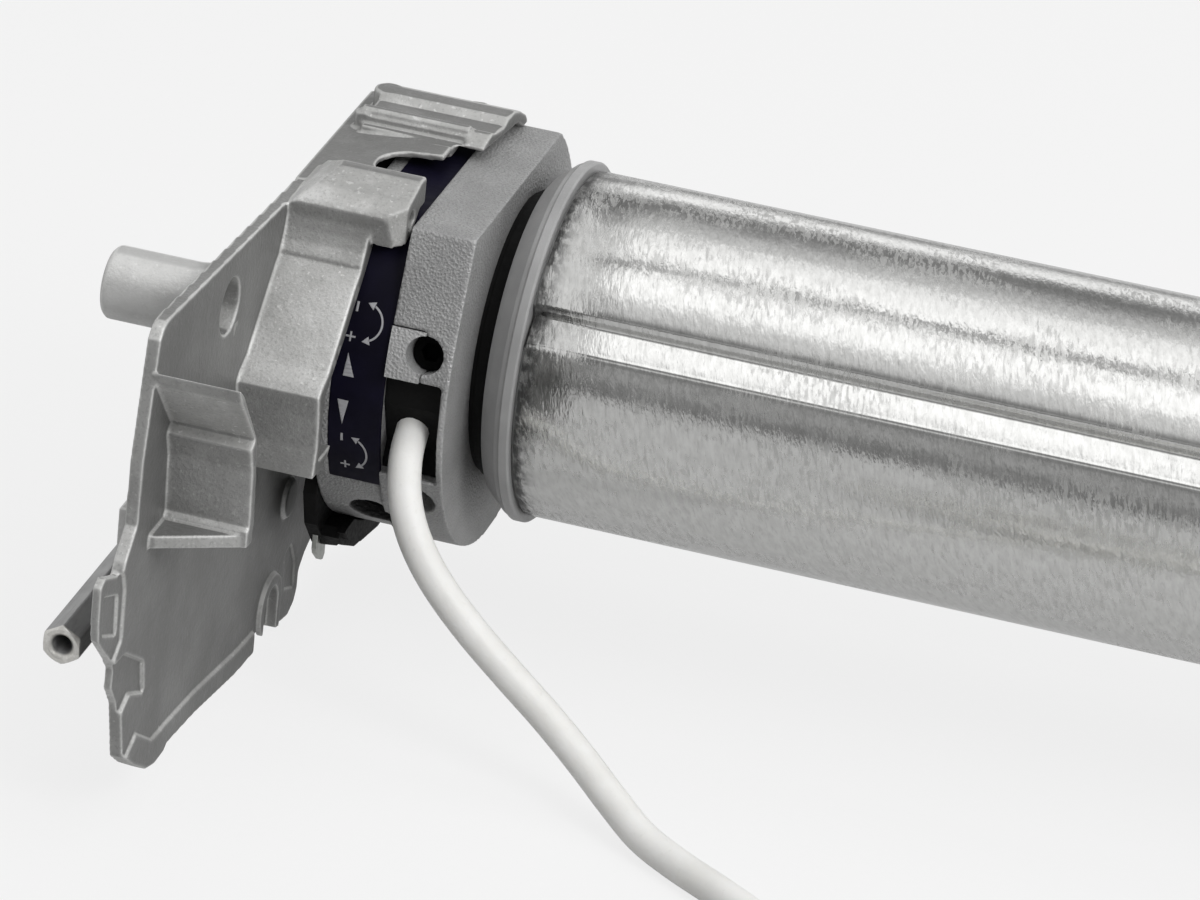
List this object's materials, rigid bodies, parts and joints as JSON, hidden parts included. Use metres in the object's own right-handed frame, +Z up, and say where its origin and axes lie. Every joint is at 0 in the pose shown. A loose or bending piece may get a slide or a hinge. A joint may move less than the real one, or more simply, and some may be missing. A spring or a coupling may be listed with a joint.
{
  "type": "tubular awning motor on an end bracket",
  "caption": "Tubular awning drive: cast end bracket, motor head with two limit screws, roller tube and motor cable.",
  "frame": {"origin": "on the roller axis at the outer face of the bracket's end plate", "axes": "+X along the roller from the bracket to the tube's open end, +Z up, out of the flat on the motor head, -Y to the front of the awning, where the cable leaves"},
  "size_m": [0.581, 0.2798, 0.1204],
  "materials": {
    "cast_alloy": "as cast, fine grain",
    "head_alloy": "satin, leather grain on the chamfer",
    "zinc_steel": "zinc plated",
    "dark_steel": "turned, lightly oiled",
    "bright_steel": "ground",
    "galvanised": "hot dip galvanised, spangled",
    "crown_plastic": "satin",
    "black_plastic": "satin",
    "dark_plastic": "satin",
    "marking": "satin print",
    "white_cable": "satin",
    "core_colours": "satin",
    "copper": "enamelled wire",
    "bronze": "sintered",
    "laminated_steel": "stacked sheets",
    "can_aluminium": "drawn can",
    "nylon": "satin",
    "lining": "moulded lining"
  },
  "bodies": {
    "bracket_and_motor": {"end_bracket": "cast_alloy", "hex_standoff": "dark_steel", "head_rear_cover": "black_plastic", "release_tab": "zinc_steel", "head_casting": "head_alloy", "marking_band": "marking", "cable_lock": "head_alloy", "cable_plug": "black_plastic", "head_screws": "dark_steel", "bearing_sleeve": "black_plastic", "motor_tube": "zinc_steel", "spigot_screws": "zinc_steel", "limit_housing": "dark_plastic", "limit_switches": "black_plastic", "capacitor": "can_aluminium", "capacitor_rings": "dark_plastic", "rear_shield": "cast_alloy", "rear_bearing": "bright_steel", "stator_core": "laminated_steel", "stator_windings": "copper", "front_shield": "cast_alloy", "front_bearing": "bright_steel", "brake_spring": "bright_steel", "brake_pins": "zinc_steel", "brake_plate": "zinc_steel", "ring_gear": "dark_plastic", "output_bush": "bronze", "gearbox_screws": "zinc_steel", "cable_lead": "white_cable", "cable_coil": "white_cable", "cable_tail": "white_cable", "cable_cores": "core_colours"},
    "rotor": {"rotor_shaft": "bright_steel", "rotor_core": "laminated_steel", "brake_disc": "lining", "sun_gear_1": "bright_steel"},
    "first_carrier": {"carrier_1": "bright_steel", "sun_gear_2": "bright_steel"},
    "second_carrier": {"carrier_2": "bright_steel", "sun_gear_3": "bright_steel"},
    "roller": {"output_carrier": "bright_steel", "crown_ring": "crown_plastic", "roller_tube": "galvanised", "drive_wheel": "dark_plastic", "wheel_clip": "zinc_steel", "tube_rivets": "can_aluminium"},
    "limit_pinion": {"limit_pinion": "nylon"},
    "upper_limit_screw": {"limit_screw_upper": "dark_steel"},
    "lower_limit_screw": {"limit_screw_lower": "dark_steel"},
    "brake_armature": {"brake_armature": "dark_steel"},
    "planet_1_a": {"planet_1_a": "nylon"},
    "planet_1_b": {"planet_1_b": "nylon"},
    "planet_1_c": {"planet_1_c": "nylon"},
    "planet_2_a": {"planet_2_a": "dark_steel"},
    "planet_2_b": {"planet_2_b": "dark_steel"},
    "planet_2_c": {"planet_2_c": "dark_steel"},
    "planet_3_a": {"planet_3_a": "dark_steel"},
    "planet_3_b": {"planet_3_b": "dark_steel"},
    "planet_3_c": {"planet_3_c": "dark_steel"}
  },
  "joints": [
    {"name": "roller_turn", "type": "hinge", "parent": "bracket_and_motor", "child": "roller", "pos_m": [0, 0, 0], "axis": [1, 0, 0], "continuous": true},
    {"name": "rotor_spin", "type": "hinge", "parent": "bracket_and_motor", "child": "rotor", "pos_m": [0, 0, 0], "axis": [1, 0, 0], "continuous": true},
    {"name": "first_carrier_turn", "type": "hinge", "parent": "bracket_and_motor", "child": "first_carrier", "pos_m": [0, 0, 0], "axis": [1, 0, 0], "continuous": true},
    {"name": "second_carrier_turn", "type": "hinge", "parent": "bracket_and_motor", "child": "second_carrier", "pos_m": [0, 0, 0], "axis": [1, 0, 0], "continuous": true},
    {"name": "planet_1_a_spin", "type": "hinge", "parent": "first_carrier", "child": "planet_1_a", "pos_m": [0.35, 0.0135, 0], "axis": [1, 0, 0], "continuous": true},
    {"name": "planet_1_b_spin", "type": "hinge", "parent": "first_carrier", "child": "planet_1_b", "pos_m": [0.35, -0.00675, 0.01169], "axis": [1, 0, 0], "continuous": true},
    {"name": "planet_1_c_spin", "type": "hinge", "parent": "first_carrier", "child": "planet_1_c", "pos_m": [0.35, -0.00675, -0.01169], "axis": [1, 0, 0], "continuous": true},
    {"name": "planet_2_a_spin", "type": "hinge", "parent": "second_carrier", "child": "planet_2_a", "pos_m": [0.35, 0.0135, 0], "axis": [1, 0, 0], "continuous": true},
    {"name": "planet_2_b_spin", "type": "hinge", "parent": "second_carrier", "child": "planet_2_b", "pos_m": [0.35, -0.00675, 0.01169], "axis": [1, 0, 0], "continuous": true},
    {"name": "planet_2_c_spin", "type": "hinge", "parent": "second_carrier", "child": "planet_2_c", "pos_m": [0.35, -0.00675, -0.01169], "axis": [1, 0, 0], "continuous": true},
    {"name": "planet_3_a_spin", "type": "hinge", "parent": "roller", "child": "planet_3_a", "pos_m": [0.35, 0.0135, 0], "axis": [1, 0, 0], "continuous": true},
    {"name": "planet_3_b_spin", "type": "hinge", "parent": "roller", "child": "planet_3_b", "pos_m": [0.35, -0.00675, 0.01169], "axis": [1, 0, 0], "continuous": true},
    {"name": "planet_3_c_spin", "type": "hinge", "parent": "roller", "child": "planet_3_c", "pos_m": [0.35, -0.00675, -0.01169], "axis": [1, 0, 0], "continuous": true},
    {"name": "limit_pinion_spin", "type": "hinge", "parent": "bracket_and_motor", "child": "limit_pinion", "pos_m": [0.08, 0.0128, 0.02217], "axis": [1, 0, 0], "continuous": true},
    {"name": "upper_limit_screw_turn", "type": "hinge", "parent": "bracket_and_motor", "child": "upper_limit_screw", "pos_m": [0.0386, -0.03851, 0.01082], "axis": [0, -0.9627, 0.2706], "continuous": true},
    {"name": "lower_limit_screw_turn", "type": "hinge", "parent": "bracket_and_motor", "child": "lower_limit_screw", "pos_m": [0.0386, -0.03522, -0.01896], "axis": [0, -0.8805, -0.4741], "continuous": true},
    {"name": "brake_release", "type": "slide", "parent": "bracket_and_motor", "child": "brake_armature", "axis": [1, 0, 0], "range_m": [-0.0006, 0]}
  ],
  "couplings": [
    {"joint": "rotor_spin", "follows": "roller_turn", "ratio": 216},
    {"joint": "first_carrier_turn", "follows": "roller_turn", "ratio": 36},
    {"joint": "second_carrier_turn", "follows": "roller_turn", "ratio": 6},
    {"joint": "planet_1_a_spin", "follows": "roller_turn", "ratio": -90},
    {"joint": "planet_1_b_spin", "follows": "roller_turn", "ratio": -90},
    {"joint": "planet_1_c_spin", "follows": "roller_turn", "ratio": -90},
    {"joint": "planet_2_a_spin", "follows": "roller_turn", "ratio": -15},
    {"joint": "planet_2_b_spin", "follows": "roller_turn", "ratio": -15},
    {"joint": "planet_2_c_spin", "follows": "roller_turn", "ratio": -15},
    {"joint": "planet_3_a_spin", "follows": "roller_turn", "ratio": -2.5},
    {"joint": "planet_3_b_spin", "follows": "roller_turn", "ratio": -2.5},
    {"joint": "planet_3_c_spin", "follows": "roller_turn", "ratio": -2.5},
    {"joint": "limit_pinion_spin", "follows": "roller_turn", "ratio": 4.2}
  ]
}
